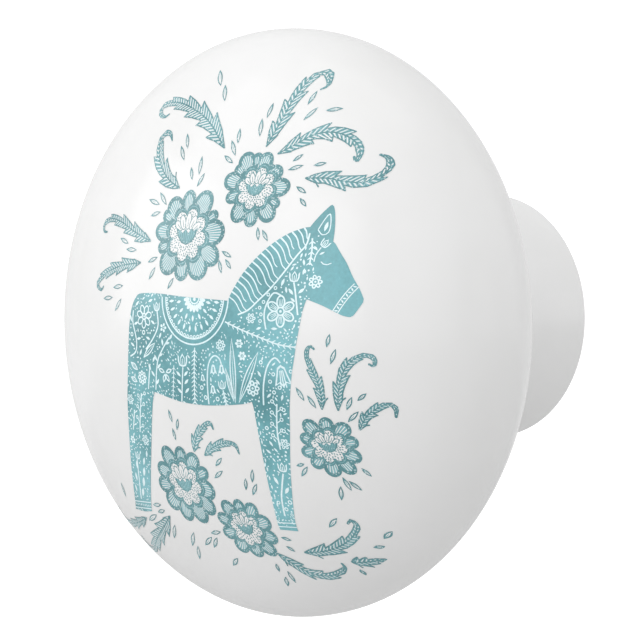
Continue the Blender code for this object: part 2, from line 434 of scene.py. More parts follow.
def zinc_plate(name, turned):
    """Bright zinc: rings left by turning or stamping, fine scratches, a cool cast."""
    material, tree, shader, place = node_material(name)
    cast = noise(tree, place, 900.0, 3.0)
    tone = ramp(tree, cast, [(0.3, linear(176, 181, 186)), (0.7, linear(204, 206, 207))])
    rings = add_node(tree, "TexWave", Vector=place, Scale=turned, Distortion=1.2, Detail=3.0)
    rings.wave_type = "RINGS"
    rings.rings_direction = "Y"
    grain = noise(tree, place, 5200.0, 3.0, 0.65)
    rough = remap(tree, grain, 0.3, 0.7, 0.24, 0.40)
    feed(tree, shader, Base_Color=tone, Metallic=1.0, Roughness=rough)
    relief = mix(tree, 0.35, rings.outputs["Color"], grain)
    bump(tree, shader, relief, 0.000006, 0.5)
    return material


def brass():
    material, tree, shader, place = node_material("knurled_brass")
    dull = noise(tree, place, 700.0, 4.0, 0.6)
    tone = ramp(tree, dull, [(0.32, linear(172, 128, 62)), (0.7, linear(214, 176, 104))])
    rough = remap(tree, dull, 0.3, 0.7, 0.42, 0.26)
    feed(tree, shader, Base_Color=tone, Metallic=1.0, Roughness=rough)
    bump(tree, shader, noise(tree, place, 6000.0, 2.0), 0.000005, 0.5)
    return material


def cement():
    material, tree, shader, place = node_material("grey_cement")
    sand = noise(tree, place, 3000.0, 5.0, 0.7)
    tone = ramp(tree, sand, [(0.3, linear(148, 143, 134)), (0.7, linear(188, 184, 176))])
    feed(tree, shader, Base_Color=tone, Roughness=0.95)
    bump(tree, shader, sand, 0.00008, 0.9)
    return material


def ink(name, dark, light, speckle=0.0, glow=()):
    """Watercolour teal: slow pools of tone, and a fine grain.

    glow: (x, z, reach, colour) of places, in millimetres, with a tone of their own."""
    material, tree, shader, place = node_material(name)
    pools = noise(tree, place, 230.0, 4.0, 0.6, 0.6)
    tone = ramp(tree, pools, [(0.34, dark), (0.66, light)])
    for x, z, reach, colour in glow:
        far = tree.nodes.new("ShaderNodeVectorMath")
        far.operation = "DISTANCE"
        tree.links.new(place, far.inputs[0])
        far.inputs[1].default_value = dome_point(x * MM, z * MM)[0]
        share = remap(tree, far.outputs["Value"], reach * 0.2 * MM, reach * MM, 0.75, 0.0)
        tone = mix(tree, share, tone, colour)
    grain = noise(tree, place, 4200.0, 3.0, 0.7)
    shade = remap(tree, grain, 0.3, 0.7, 0.90, 1.08)
    gain = add_node(tree, "CombineColor", Red=shade, Green=shade, Blue=shade)
    colour = mix(tree, 1.0, tone, gain.outputs["Color"], "MULTIPLY")
    if speckle:
        spot = remap(tree, cells(tree, place, 6200.0), 0.2, 0.34, speckle, 0.0)
        colour = mix(tree, spot, colour, linear(205, 226, 229))
    rough = remap(tree, grain, 0.3, 0.7, 0.20, 0.28)
    feed(tree, shader, Base_Color=colour, Roughness=rough)
    bump(tree, shader, grain, 0.000004, 0.3)
    glaze_finish(tree, shader)
    return material


def teal_inks():
    """The materials of the tones DEEP, WASH and PALE."""
    thin = linear(134, 196, 205)
    thick = linear(80, 138, 145)
    clear = linear(113, 178, 187)
    glow = [(9.6, -0.6, 2.4, thin), (9.7, -2.6, 2.0, thin), (5.2, -2.2, 1.7, thin),
            (-3.6, -10.2, 3.0, thin), (8.0, -11.0, 2.6, thin), (8.6, -3.9, 1.8, thick),
            (2.2, -4.2, 2.2, thick), (-1.6, -0.6, 3.0, thick), (12.8, 3.0, 2.4, clear)]
    return [
        ink("teal_deep", linear(79, 131, 137), linear(104, 155, 161), speckle=0.75),
        ink("teal_wash", linear(90, 149, 156), linear(118, 181, 189), glow=glow),
        ink("teal_pale", linear(118, 172, 179), linear(148, 196, 202)),
    ]


# Drawing in millimetres on the face


DEEP, WASH, PALE, WHITE = 0, 1, 2, 3


def moved(points, x, z, turn=0.0, size=1.0):
    """The points turned by an angle in degrees, scaled and put at (x, z)."""
    c = size * math.cos(math.radians(turn))
    s = size * math.sin(math.radians(turn))
    return [(x + c * a - s * b, z + s * a + c * b) for a, b in points]


def off(x, z, turn, distance):
    """The point at a distance from (x, z), in the direction of an angle in degrees."""
    return moved([(distance, 0)], x, z, turn)[0]


def oval(x, z, long, wide, turn=0.0, sides=16):
    turns = [2 * math.pi * i / sides for i in range(sides)]
    return moved([(long * math.cos(a), wide * math.sin(a)) for a in turns], x, z, turn)


def curve(points, step=0.15):
    """A smooth line through the points, with a point about every step."""
    ends = [points[0]] + list(points) + [points[-1]]
    line = []
    for p0, p1, p2, p3 in zip(ends, ends[1:], ends[2:], ends[3:]):
        pieces = max(1, round(math.dist(p1, p2) / step))
        for i in range(pieces):
            t = i / pieces
            line.append(tuple(
                0.5 * (2 * b + (c - a) * t + (2 * a - 5 * b + 4 * c - d) * t * t
                       + (3 * b - 3 * c + d - a) * t**3)
                for a, b, c, d in zip(p0, p1, p2, p3)
            ))
    return line + [tuple(points[-1])]


def side_points(line, reach):
    """Points to the left of the line. reach: a distance for each of its points."""
    shifted = []
    for i, (x, z) in enumerate(line):
        x0, z0 = line[max(0, i - 1)]
        x1, z1 = line[min(len(line) - 1, i + 1)]
        length = math.dist((x0, z0), (x1, z1)) or 1.0
        shifted.append((x - (z1 - z0) / length * reach[i], z + (x1 - x0) / length * reach[i]))
    return shifted


SHARP = 35.0


def bend(before, point, after):
    """How many degrees a line turns at a point."""
    first = math.atan2(point[1] - before[1], point[0] - before[0])
    second = math.atan2(after[1] - point[1], after[0] - point[0])
    return abs(math.degrees((second - first + math.pi) % (2 * math.pi) - math.pi))


def brush(line, widths):
    left = side_points(line, [w / 2 for w in widths])
    right = side_points(line, [-w / 2 for w in widths])
    return left + right[::-1]


def along(line, share):
    """The place at a share of the line's length, and its direction in degrees."""
    lengths = [math.dist(a, b) for a, b in zip(line, line[1:])]
    left = share * sum(lengths)
    for a, b, length in zip(line, line[1:], lengths):
        if left <= length or b is line[-1]:
            t = left / length if length else 0.0
            x, z = a[0] + (b[0] - a[0]) * t, a[1] + (b[1] - a[1]) * t
            return x, z, math.degrees(math.atan2(b[1] - a[1], b[0] - a[0]))
        left -= length


class Drawing:
    """Shapes laid over one another, later ones on top. Each has a tone and an owner."""

    def __init__(self):
        self.shapes = []
        self.owner = ""
        self.clip = None
        self.dice = random.Random(11)

    def fill(self, tone, points):
        """Adds a filled outline and returns its number."""
        merge = 0.004
        ring = []
        for point in points:
            if not ring or math.dist(point, ring[-1]) > merge:
                ring.append(point)
        if math.dist(ring[0], ring[-1]) < merge:
            ring.pop()
        area = sum(a[0] * b[1] - b[0] * a[1] for a, b in zip(ring, ring[1:] + ring[:1]))
        self.shapes.append((tone, self.owner, self.clip, ring if area > 0 else ring[::-1]))
        return len(self.shapes) - 1

    def line(self, tone, points, width, tail=None, smooth=True):
        """A stroke. tail: its width at the far end, if it isn't the same."""
        track = curve(points) if smooth and len(points) > 2 else list(points)
        last = len(track) - 1
        tail = width if tail is None else tail
        widths = [width + (tail - width) * i / last for i in range(last + 1)]
        start = 0
        for i in range(1, last + 1):
            if i == last or bend(*track[i - 1 : i + 2]) > SHARP:
                self.fill(tone, brush(track[start : i + 1], widths[start : i + 1]))
                if i < last:
                    self.dot(tone, *track[i], widths[i] * 0.5, 6)
                start = i

    def loop(self, tone, points, width):
        """A closed outline, as two strokes that share their ends."""
        half = len(points) // 2
        self.line(tone, points[: half + 1], width, smooth=False)
        self.line(tone, points[half:] + points[:1], width, smooth=False)

    def dot(self, tone, x, z, radius, sides=7):
        self.fill(tone, oval(x, z, radius, radius, 0.0, sides))

    def lens(self, tone, x, z, length, width, turn):
        """A seed or leaf shape with pointed ends."""
        half = []
        for i in range(9):
            t = i / 8
            half.append((length * (t - 0.5), width / 2 * math.sin(math.pi * t)))
        other = [(a, -b) for a, b in reversed(half)]
        return self.fill(tone, moved(half + other, x, z, turn))

    def inside(self, number, x, z):
        """True if (x, z) is inside a shape."""
        ring = self.shapes[number][3]
        hit = False
        for (x0, z0), (x1, z1) in zip(ring, ring[1:] + ring[:1]):
            if (z0 > z) != (z1 > z) and x < x0 + (z - z0) * (x1 - x0) / (z1 - z0):
                hit = not hit
        return hit

    def cut(self):
        """Triangles of the finished drawing: the points, and (corners, tone, owner) each."""
        step, rows, reach = 0.6, 28, 17.5
        places = []
        rings = []
        for shape in self.shapes:
            ring = []
            points = shape[3]
            for a, b in zip(points, points[1:] + points[:1]):
                pieces = max(1, math.ceil(math.dist(a, b) / step))
                for i in range(pieces):
                    t = i / pieces
                    ring.append(len(places))
                    places.append(Vector((a[0] + (b[0] - a[0]) * t, a[1] + (b[1] - a[1]) * t)))
            rings.append(ring)
        for row in range(-rows, rows + 1):
            for column in range(-rows, rows + 1):
                x, z = (column + row % 2 / 2) * step, row * step * 0.87
                if math.hypot(x, z) < reach:
                    places.append(Vector((x, z)))
        points, _, faces, _, _, sources = delaunay_2d_cdt(places, [], rings, 1, 1e-6)
        triangles = []
        for face, cover in zip(faces, sources):
            cover = set(cover)
            for number in sorted(cover, reverse=True):
                tone, owner, clip, _ = self.shapes[number]
                if clip is None or clip in cover:
                    triangles.append((face, tone, owner))
                    break
        return points, triangles


def print_pieces(drawing, glaze):
    """One piece for each owner: a film of ink that lies on the dome.

    What is WHITE has the glaze's own white, or on the horse a tinted one."""
    proud = 0.015 * MM
    points, triangles = drawing.cut()
    inks = teal_inks()
    tint = ink("teal_tint", linear(216, 240, 245), linear(232, 248, 251))
    for owner in sorted({owner for _, _, owner in triangles}):
        mesh = bpy.data.meshes.new(owner)
        used = {}
        faces = []
        tones = []
        for face, tone, its_owner in triangles:
            if its_owner != owner:
                continue
            corners = [used.setdefault(v, len(used)) for v in face]
            faces.append(corners)
            tones.append(tone)
        spots = [dome_point(points[v][0] * MM, points[v][1] * MM, proud) for v in used]
        mesh.from_pydata([place for place, _ in spots], [], faces)
        mesh.polygons.foreach_set("material_index", tones)
        mesh.shade_smooth()
        mesh.normals_split_custom_set_from_vertices([normal for _, normal in spots])
        for layer in inks + [tint if owner == "print_horse" else glaze]:
            mesh.materials.append(layer)
        film = add_object(owner, mesh)
        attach(film, "knob")


# Horse


# The outline in smooth stretches, each from the last one's end.
HORSE_OUTLINE = [
    [(-6.2, -12.0), (-5.7, -11.3), (-5.1, -10), (-4.6, -8.6), (-4.2, -7.3), (-3.9, -6), (-3.65, -4.6),
     (-3.4, -3.4), (-3.2, -2.2), (-3.05, -1), (-2.95, 0), (-2.75, 1), (-2.5, 1.55), (-2.2, 1.9),
     (-1.9, 2.06), (-1, 2.12), (0.3, 2.1), (2, 1.98), (4, 1.88), (5.95, 1.78)],
    [(5.95, 1.78), (6.4, 2.6), (7, 3.5), (7.8, 4.4), (8.7, 5.2), (9.7, 5.85), (10.6, 6.2), (11, 6.27)],
    [(11, 6.27), (11.3, 6.75), (11.7, 7.3), (12, 7.6), (12.2, 7.3), (12.35, 6.7), (12.45, 6),
     (12.47, 5.4)],
    [(12.47, 5.4), (12.6, 5.3), (13, 4.7), (13.4, 4.1), (13.8, 3.3), (14.2, 2.6), (14.45, 2)],
    [(14.45, 2), (14.42, 1.8), (14.2, 1.4), (13.95, 1), (13.8, 0.92), (13.4, 1), (12.9, 1.25),
     (12.2, 1.6), (11.3, 1.95)],
    [(11.3, 1.95), (11.1, 1.3), (10.95, 0.5), (10.7, -0.8), (10.55, -1.6), (10.3, -2.8), (10, -4.6),
     (9.8, -6), (9.5, -7.5), (9.1, -9.3), (8.8, -10.5), (8.45, -11.85), (8.4, -12.35)],
    [(8.4, -12.35), (7.25, -12.3)],
    [(7.25, -12.3), (7.25, -11.9), (7.35, -11.3), (7.5, -10), (7.6, -8.5), (7.65, -7), (7.6, -5),
     (7.5, -4.33)],
    [(7.5, -4.33), (6.8, -4.5), (5, -4.65), (3.5, -4.68), (2, -4.58), (1, -4.4), (-0.6, -4.05)],
    [(-0.6, -4.05), (-0.9, -4.7), (-1.2, -5.7), (-1.6, -7), (-2.1, -8.3), (-2.6, -9.4), (-3.1, -10.4),
     (-3.6, -11.3), (-3.95, -11.95)],
    [(-3.95, -11.95), (-5, -12.05), (-6.2, -12)],
]
MANE_LINE = [(6.75, 0.95), (7.5, 1.25), (8.2, 1.85), (9, 2.6), (9.8, 3.6), (10.5, 4.6),
             (10.95, 5.2), (11.05, 5.9)]
FINE = 0.1


class Ornament(Drawing):
    """White folk motifs on the horse. Each keeps scattered dots away from itself."""

    def __init__(self):
        super().__init__()
        self.taken = []

    def keep(self, x, z, radius):
        self.taken.append((x, z, radius))

    def trail(self, points, clear=0.16):
        for x, z in curve(points, 0.2):
            self.keep(x, z, clear)

    def stem(self, points, width=FINE):
        self.line(WHITE, points, width)
        self.trail(points)

    def barbs(self, points, count, size, spread=50, width=FINE):
        """A stem with pairs of short strokes, as on an ear of corn."""
        self.stem(points, width)
        line = curve(points)
        for i in range(count):
            x, z, turn = along(line, (i + 0.6) / count)
            for side in (-1, 1):
                tip = off(x, z, turn + side * spread, size)
                self.line(WHITE, [(x, z), tip], width, width * 0.5, smooth=False)
        self.trail(points, size)

    def rosette(self, x, z, radius, petals=7):
        """Round petals about a dark eye."""
        for i in range(petals):
            turn = 360 * i / petals
            px, pz = off(x, z, turn, radius * 0.64)
            self.fill(WHITE, oval(px, pz, radius * 0.36, radius * 0.3, turn, 10))
            if radius > 0.33:
                self.fill(WASH, oval(px, pz, radius * 0.17, radius * 0.12, turn, 7))
        self.dot(WASH, x, z, radius * 0.33, 9)
        self.dot(WHITE, x, z, radius * 0.16)
        self.keep(x, z, radius * 1.2)

    def daisy(self, x, z, radius, petals=6, start=30, hatch=True):
        """Long outlined petals, about a ring."""
        for i in range(petals):
            turn = start + 360 * i / petals
            px, pz = off(x, z, turn, radius * 0.62)
            petal = oval(px, pz, radius * 0.4, radius * 0.27, turn, 18)
            self.loop(WHITE, petal, FINE if hatch else 0.08)
            for side in (-0.5, 0.0, 0.5) if hatch else ():
                strand = moved([(radius * 0.35, radius * 0.14 * side),
                                (radius * 0.8, radius * 0.26 * side)], x, z, turn)
                self.line(WHITE, strand, 0.05, 0.03, smooth=False)
        self.dot(WASH, x, z, radius * 0.3, 12)
        self.loop(WHITE, oval(x, z, radius * 0.26, radius * 0.26), FINE)
        self.dot(WHITE, x, z, radius * 0.1)
        self.keep(x, z, radius * 1.1)

    def tulip(self, x, z, size, turn=0.0):
        """A cup with three points and a hatch."""
        cup = [(0, -0.5), (0.34, -0.42), (0.48, -0.1), (0.5, 0.4), (0.26, 0.12), (0, 0.5),
               (-0.26, 0.12), (-0.5, 0.4), (-0.48, -0.1), (-0.34, -0.42)]
        self.fill(WHITE, moved(cup, x, z, turn, size))
        inner = [(a * 0.72, b * 0.72 - 0.02) for a, b in cup]
        self.fill(WASH, moved(inner, x, z, turn, size))
        for side in (-0.2, 0.0, 0.2):
            strand = moved([(side * 0.8, -0.36), (side, 0.1)], x, z, turn, size)
            self.line(WHITE, strand, 0.05, smooth=False)
        self.keep(x, z, size * 0.62)

    def berry(self, x, z, radius=0.14):
        self.dot(WHITE, x, z, radius, 11)
        self.dot(WASH, x, z, radius * 0.52, 8)
        self.keep(x, z, radius * 1.3)

    def blade(self, start, end, width):
        """A long leaf, outlined, with a midrib."""
        (x0, z0), (x1, z1) = start, end
        x, z, length = (x0 + x1) / 2, (z0 + z1) / 2, math.dist(start, end)
        turn = math.degrees(math.atan2(z1 - z0, x1 - x0))
        self.lens(WHITE, x, z, length, width, turn)
        self.lens(WASH, x, z, length - 0.26, width - 0.17, turn)
        rib = moved([(-length * 0.42, 0), (length * 0.3, 0)], x, z, turn)
        self.line(WHITE, rib, 0.05, 0.03, smooth=False)
        for i in range(5):
            share = (i + 0.5) / 5
            self.keep(x0 + (x1 - x0) * share, z0 + (z1 - z0) * share, width * 0.6)

    def leaf(self, x, z, turn, length):
        self.lens(WHITE, x, z, length, length * 0.36, turn)
        self.keep(x, z, length * 0.5)

    def bell(self, x, z, size, turn=0.0):
        """A hanging bell."""
        cup = [(0, 0.6), (0.22, 0.45), (0.34, 0.0), (0.5, -0.5), (0.2, -0.36), (0, -0.6),
               (-0.2, -0.36), (-0.5, -0.5), (-0.34, 0.0), (-0.22, 0.45)]
        self.fill(WHITE, moved(cup, x, z, turn, size))
        if size < 0.7:
            self.line(WASH, moved([(0, 0.3), (0, -0.3)], x, z, turn, size), 0.1, smooth=False)
        else:
            inner = [(a * 0.74, b * 0.78) for a, b in cup]
            self.fill(WASH, moved(inner, x, z, turn, size))
            for side in (-0.16, 0.0, 0.16):
                strand = [(side * 0.5, 0.3), (side, -0.62)]
                self.line(WHITE, moved(strand, x, z, turn, size), 0.07, smooth=False)
        self.keep(x, z, size * 0.6)

    def twig(self, points, count, size, berries=True):
        """A branch with side shoots that end in berries or leaves."""
        self.stem(points)
        line = curve(points)
        for i in range(count):
            x, z, turn = along(line, (i + 0.7) / (count + 0.2))
            side = 1 if i % 2 else -1
            tip = off(x, z, turn + side * 48, size)
            self.line(WHITE, [(x, z), tip], 0.06, smooth=False)
            if berries:
                self.berry(*tip, 0.13)
            else:
                self.leaf(*tip, turn + side * 48, size * 0.9)

    def scatter(self, outline, count, low, high):
        """Small dots and dashes in the room that is left."""
        dice = self.dice
        for _ in range(count * 9):
            if count <= 0:
                break
            x, z = dice.uniform(-6.2, 14.4), dice.uniform(-12.2, 6)
            size = dice.uniform(low, high)
            near = any(math.hypot(x - a, z - b) < r + size for a, b, r in self.taken)
            if near or not self.inside(outline, x, z):
                continue
            on_face = x > 11.6 and z > 0.5
            if in_mane(x, z) or on_face or z < -12.0:
                continue
            count -= 1
            if dice.random() < 0.28:
                self.lens(WHITE, x, z, size * 4.4, size * 1.5, dice.uniform(0, 180))
                self.keep(x, z, size * 2.4)
            else:
                self.dot(WHITE, x, z, size, 6)
                self.keep(x, z, size + 0.06)


def each(motif, rows, *shared):
    """Draws a motif once for each row of its values. shared: the last values, of all rows."""
    for row in rows:
        motif(*row, *shared)


def in_mane(x, z):
    """True above the line where the mane's strands end."""
    if not 5.9 < x < 11.1:
        return False
    line = curve(MANE_LINE)
    for (x0, z0), (x1, z1) in zip(line, line[1:]):
        if x0 <= x <= x1:
            return z > z0 + (z1 - z0) * (x - x0) / (x1 - x0 + 1e-9) - 0.15
    return x < 7


def mane(art):
    """Wavy strands from the crest of the neck to MANE_LINE."""
    strands = 18
    art.stem(MANE_LINE)
    edge = curve(HORSE_OUTLINE[1])
    root = curve(MANE_LINE)
    for i in range(strands):
        share = (i + 0.7) / (strands + 0.6)
        x0, z0, _ = along(edge, share)
        x1, z1, _ = along(root, min(1.0, share * 0.97 + 0.02))
        reach = 0.72 if i % 4 == 2 else 1.0
        dx, dz = (x1 - x0) * reach, (z1 - z0) * reach
        bends = [(0.0, 0.0), (0.3, 0.06), (0.55, 0.035), (0.8, -0.04), (1.0, -0.02)]
        strand = [(x0 + dx * t - dz * b, z0 + dz * t + dx * b) for t, b in bends]
        art.line(WHITE, strand, 0.11 if i % 2 else 0.085, 0.06)


def head(art):
    ear = [(11.5, 6.1), (11.78, 6.75), (12.0, 7.05), (12.15, 6.5), (12.12, 5.95)]
    art.line(WHITE, ear + [(11.8, 5.8), (11.5, 6.1)], 0.06)
    art.lens(WHITE, 11.93, 6.3, 0.6, 0.2, 80)
    art.barbs([(11.25, 5.6), (11.33, 4.9), (11.3, 4.0)], 5, 0.24)
    art.tulip(12.05, 5.3, 0.55, -35)
    art.stem([(11.85, 5.05), (11.6, 4.6), (11.55, 4.2)], 0.07)
    each(art.leaf, [(11.55, 5.0, 130, 0.36), (11.95, 4.7, 30, 0.34)])
    each(art.leaf, [
        (11.1, 3.6), (11.25, 3.2), (11.15, 2.7), (11.0, 4.6), (10.95, 5.0), (11.55, 3.75),
    ], 85, 0.26)
    lid = [(11.95, 4.2), (12.1, 4.06), (12.32, 4.02), (12.55, 4.12)]
    art.line(WHITE, lid, 0.07, 0.05)
    art.rosette(11.75, 3.0, 0.43, 7)
    band = [(14.15, 2.72), (13.75, 2.2), (13.4, 1.65), (13.1, 1.12)]
    art.line(WHITE, band, 0.06)
    other = side_points(curve(band), [-0.3] * len(curve(band)))
    art.line(WHITE, other, 0.06, smooth=False)
    mid = side_points(curve(band), [-0.15] * len(curve(band)))
    for i in range(9):
        x, z, turn = along(mid, (i + 0.5) / 9)
        art.lens(WHITE, x, z, 0.24, 0.09, turn + (60 if i % 2 else -60))


def neck(art):
    art.tulip(10.45, 3.3, 0.68)
    art.stem([(10.45, 2.95), (10.6, 2.3), (10.8, 1.0)])
    each(art.leaf, [(10.3, 2.4, 130, 0.5), (10.95, 2.45, 40, 0.5), (10.45, 1.9, 140, 0.4)])
    art.daisy(9.7, 1.2, 0.92, 6)
    art.rosette(7.7, 0.75, 0.34, 6)
    art.stem([(8.75, 0.1), (8.62, 0.9), (8.75, 1.6), (9.2, 2.3), (9.7, 2.15)])
    each(art.berry, [(8.35, 0.6), (8.4, 1.0), (8.3, 1.4), (8.55, 1.75), (8.85, 2.2), (9.3, 2.6)], 0.12)
    each(art.leaf, [
        (9.75, 2.95, 70, 0.5), (10.0, 2.5, 100, 0.4), (8.25, 0.15, 20, 0.4), (11.0, 3.6, 80, 0.4),
        (10.95, 4.15, 100, 0.4), (9.3, 0.15, 0, 0.45),
    ])
    strap = [(5.8, 0.5), (7, 0.05), (8.5, -0.45), (9.6, -0.8), (10.75, -0.95)]
    art.barbs(strap, 14, 0.26, 45, 0.09)


def saddle(art):
    x, z = 3.2, 1.92
    for wide, deep, width in ((2.8, 2.88, 0.1), (2.46, 2.54, 0.08)):
        arc = [(x + wide * math.cos(a), z - deep * math.sin(a)) for a in
               (math.pi * i / 40 for i in range(41))]
        art.line(WHITE, arc, width, smooth=False)
    for i in range(26):
        a = math.pi * (i + 0.5) / 26
        px, pz = x + 2.36 * math.cos(a), z - 2.43 * math.sin(a)
        art.dot(WHITE, px, pz, 0.13, 9)
        art.dot(WASH, x + 2.35 * math.cos(a), z - 2.42 * math.sin(a), 0.055, 7)
    for i in range(20):
        a = math.pi * i / 20
        art.keep(x + 2.6 * math.cos(a), z - 2.68 * math.sin(a), 0.5)
    for i in range(9):
        turn = -180 * (i + 0.5) / 9
        px, pz = off(x + 0.1, z, turn, 0.68)
        art.fill(WHITE, oval(px, pz, 0.24, 0.13, turn, 12))
    art.dot(WHITE, x + 0.1, z, 0.42, 16)
    art.dot(WASH, x + 0.1, z, 0.34, 14)
    art.dot(WHITE, x + 0.1, z - 0.1, 0.12, 8)
    for radius, count, length in ((1.28, 7, 0.42), (1.92, 12, 0.46)):
        for i in range(count):
            turn = -180 * (i + 0.5) / count
            px, pz = off(x, z, turn, radius)
            art.lens(WHITE, px, pz, length, 0.17, turn)
            art.keep(px, pz, 0.22)
    for i in range(8):
        px, pz = off(x, z, -180 * i / 7, 1.6)
        art.dot(WHITE, px, pz, 0.05, 6)
    art.keep(x, z, 1.15)


def belly(art):
    art.barbs([(3.35, -1.15), (3.2, -2.8), (3.05, -4.6)], 13, 0.3, 50, 0.08)
    art.tulip(2.25, -1.95, 0.85)
    art.stem([(2.25, -2.4), (2.1, -3.4), (1.9, -4.55)])
    for z in (-2.9, -3.4, -3.95):
        art.leaf(1.82, z + 0.08, 140, 0.5)
        art.leaf(2.48, z + 0.12, 40, 0.5)
    art.barbs([(1.45, -2.3), (1.3, -3.4), (1.1, -4.5)], 8, 0.22, 55, 0.06)
    art.rosette(0.55, 0.0, 0.3, 5)
    art.stem([(1.1, -0.6), (0.4, -1.4), (-0.1, -2.2), (-0.45, -3.9)])
    each(art.leaf, [
        (1.25, -0.55, 50), (0.9, -0.95, 10), (0.45, -0.9, 100), (0.25, -1.7, 20), (-0.25, -1.9, 120),
        (0.05, -2.4, 40), (-0.6, -2.9, 130), (-0.2, -3.4, 50),
    ], 0.48)
    for turn in (20, 160, 250, 300):
        px, pz = off(0.6, -2.8, turn, 0.36)
        art.lens(WHITE, px, pz, 0.62, 0.3, turn)
        art.lens(WASH, px, pz, 0.34, 0.12, turn)
    art.keep(0.6, -2.8, 0.7)
    art.blade((-1.5, -1.95), (-0.25, -0.95), 0.42)
    art.stem([(4.2, -4.6), (4.25, -3.2), (4.45, -2.1), (4.9, -1.6), (5.3, -1.75), (5.45, -2.1)])
    each(art.bell, [(4.8, -2.45, 0.55), (5.45, -2.42, 0.55), (3.9, -3.0, 0.4), (4.65, -3.7, 0.5)])
    art.tulip(5.4, -3.35, 0.6)
    art.barbs([(5.45, -3.7), (5.6, -4.6)], 4, 0.24)
    each(art.rosette, [
        (5.45, -0.95, 0.38, 7), (6.85, -0.8, 0.29, 6), (7.05, -1.55, 0.3, 6), (7.65, -3.5, 0.5, 8),
    ])
    each(art.berry, [(4.0, -4.2), (4.95, -4.25), (3.75, -3.6)], 0.15)
    art.blade((6.3, -4.5), (6.3, -0.45), 0.46)
    art.blade((6.55, -4.45), (8.2, -1.25), 0.5)
    art.blade((6.2, -4.4), (5.75, -2.3), 0.3)
    art.stem([(8.3, -4.5), (8.45, -3.2), (8.8, -2.1), (9.3, -1.6), (9.65, -1.9)])
    art.bell(9.72, -2.7, 1.15, 6)
    each(art.berry, [
        (9.15, -2.6), (8.9, -3.05), (9.1, -3.7), (10.3, -2.4), (8.35, -1.9), (9.5, -3.4),
    ], 0.13)
    each(art.leaf, [(8.2, -2.6, 120), (8.05, -3.1, 130), (8.75, -3.9, 40), (9.6, -4.0, 70)], 0.42)


def rump(art):
    art.daisy(-1.35, 0.65, 0.72, 7, 10, hatch=False)
    art.tulip(-0.1, 1.3, 0.6, 10)
    art.stem([(-2.5, 1.0), (-2.55, 0.3), (-2.3, -0.4), (-2.15, -1.0), (-2.3, -1.6), (-2.9, -1.9)])
    art.stem([(-0.05, 1.0), (0.05, 0.1), (-0.45, -0.7), (-1.2, -1.4)])
    each(art.leaf, [
        (-2.2, 0.2, 20), (-2.75, 0.5, 110), (-1.9, -0.75, 10), (-2.6, -1.15, 150), (-0.45, 0.3, 150),
        (0.25, -0.5, 60), (-0.95, -0.7, 160), (-1.75, -1.6, 60), (-0.45, -2.0, 60), (-0.9, -2.5, 120),
        (-2.1, 1.45, 40), (-0.75, 1.65, 20),
    ], 0.46)
    each(art.berry, [(-2.65, -0.5, 0.15), (-1.4, -0.35, 0.16)])
    each(art.blade, [((-2.9, -2.25), (-2.15, -2.75), 0.36), ((-3.0, -3.2), (-2.3, -3.5), 0.34)])
    art.rosette(-1.75, -3.2, 0.46, 8)
    art.stem([(-1.2, -3.9), (-1.0, -3.0), (-0.85, -2.3)])


def hind_leg(art):
    each(art.rosette, [(-3.3, -4.65, 0.36, 6), (-2.3, -7.2, 0.38, 6), (-3.75, -7.25, 0.27, 6)])
    art.twig([(-2.75, -6.7), (-2.4, -5.5), (-2.0, -4.2)], 7, 0.42)
    art.twig([(-3.5, -6.6), (-3.2, -5.9), (-3.0, -5.3)], 3, 0.3, berries=False)
    art.tulip(-3.6, -8.25, 0.55, -15)
    art.stem([(-3.75, -8.5), (-4.2, -9.9), (-4.75, -11.2)])
    each(art.leaf, [
        (-3.0, -8.6, 60, 0.6), (-3.3, -9.3, 60, 0.7), (-3.95, -8.9, 80, 0.6), (-3.7, -10.0, 60, 0.75),
        (-4.45, -9.7, 80, 0.6), (-4.2, -10.7, 55, 0.7), (-4.95, -10.5, 80, 0.5), (-2.5, -8.1, 70, 0.5),
    ])
    for z in (-11.35, -11.78):
        art.line(WHITE, [(-6.3, z - 0.08), (-3.4, z)], 0.07, smooth=False)
    for i in range(9):
        art.lens(WHITE, -5.75 + 0.24 * i, -11.6, 0.22, 0.1, 60 if i % 2 else -60)
    for i in range(12):
        art.keep(-6 + 0.24 * i, -11.6, 0.3)


def front_leg(art):
    art.twig([(8.95, -7.2), (8.95, -6.3), (9.05, -5.4), (9.2, -4.4)], 8, 0.42)
    each(art.berry, [(8.9, -4.25), (9.6, -4.75), (8.3, -5.9), (9.4, -6.05)], 0.13)
    art.rosette(9.3, -6.85, 0.34, 6)
    each(art.leaf, [(8.4, -6.85, 120, 0.4), (8.12, -7.35, 140, 0.4)])
    art.tulip(8.8, -8.3, 0.62, -5)
    art.stem([(8.75, -8.7), (8.4, -9.6), (8.15, -10.3), (7.95, -11.4)])
    each(art.leaf, [(8.15, -9.15, 110, 0.55), (8.68, -9.75, 50, 0.55)])
    each(art.berry, [
        (8.62, -10.5, 0.14), (8.22, -10.95, 0.13), (8.45, -11.3, 0.1), (7.85, -10.55, 0.12),
    ])
    for i in range(11):
        z = -5.1 - 0.56 * i
        art.lens(WHITE, 7.82 - 0.01 * i, z, 0.3, 0.1, 88)
        art.keep(7.8, z, 0.14)
    for z in (-11.85, -12.1):
        art.line(WHITE, [(7.1, z), (8.7, z)], 0.06, smooth=False)
    for i in range(5):
        art.dot(WHITE, 7.45 + 0.22 * i, -11.68, 0.05, 6)


def horse(art):
    art.owner = "print_horse"
    art.clip = None
    outline = []
    for segment in HORSE_OUTLINE:
        outline += (curve(segment) if len(segment) > 2 else segment)[:-1]
    body = art.fill(WASH, outline)
    art.clip = body
    mane(art)
    head(art)
    neck(art)
    saddle(art)
    rump(art)
    belly(art)
    hind_leg(art)
    front_leg(art)
    art.scatter(body, 1500, 0.035, 0.078)
    art.clip = None


# Flowers, leaves and seeds


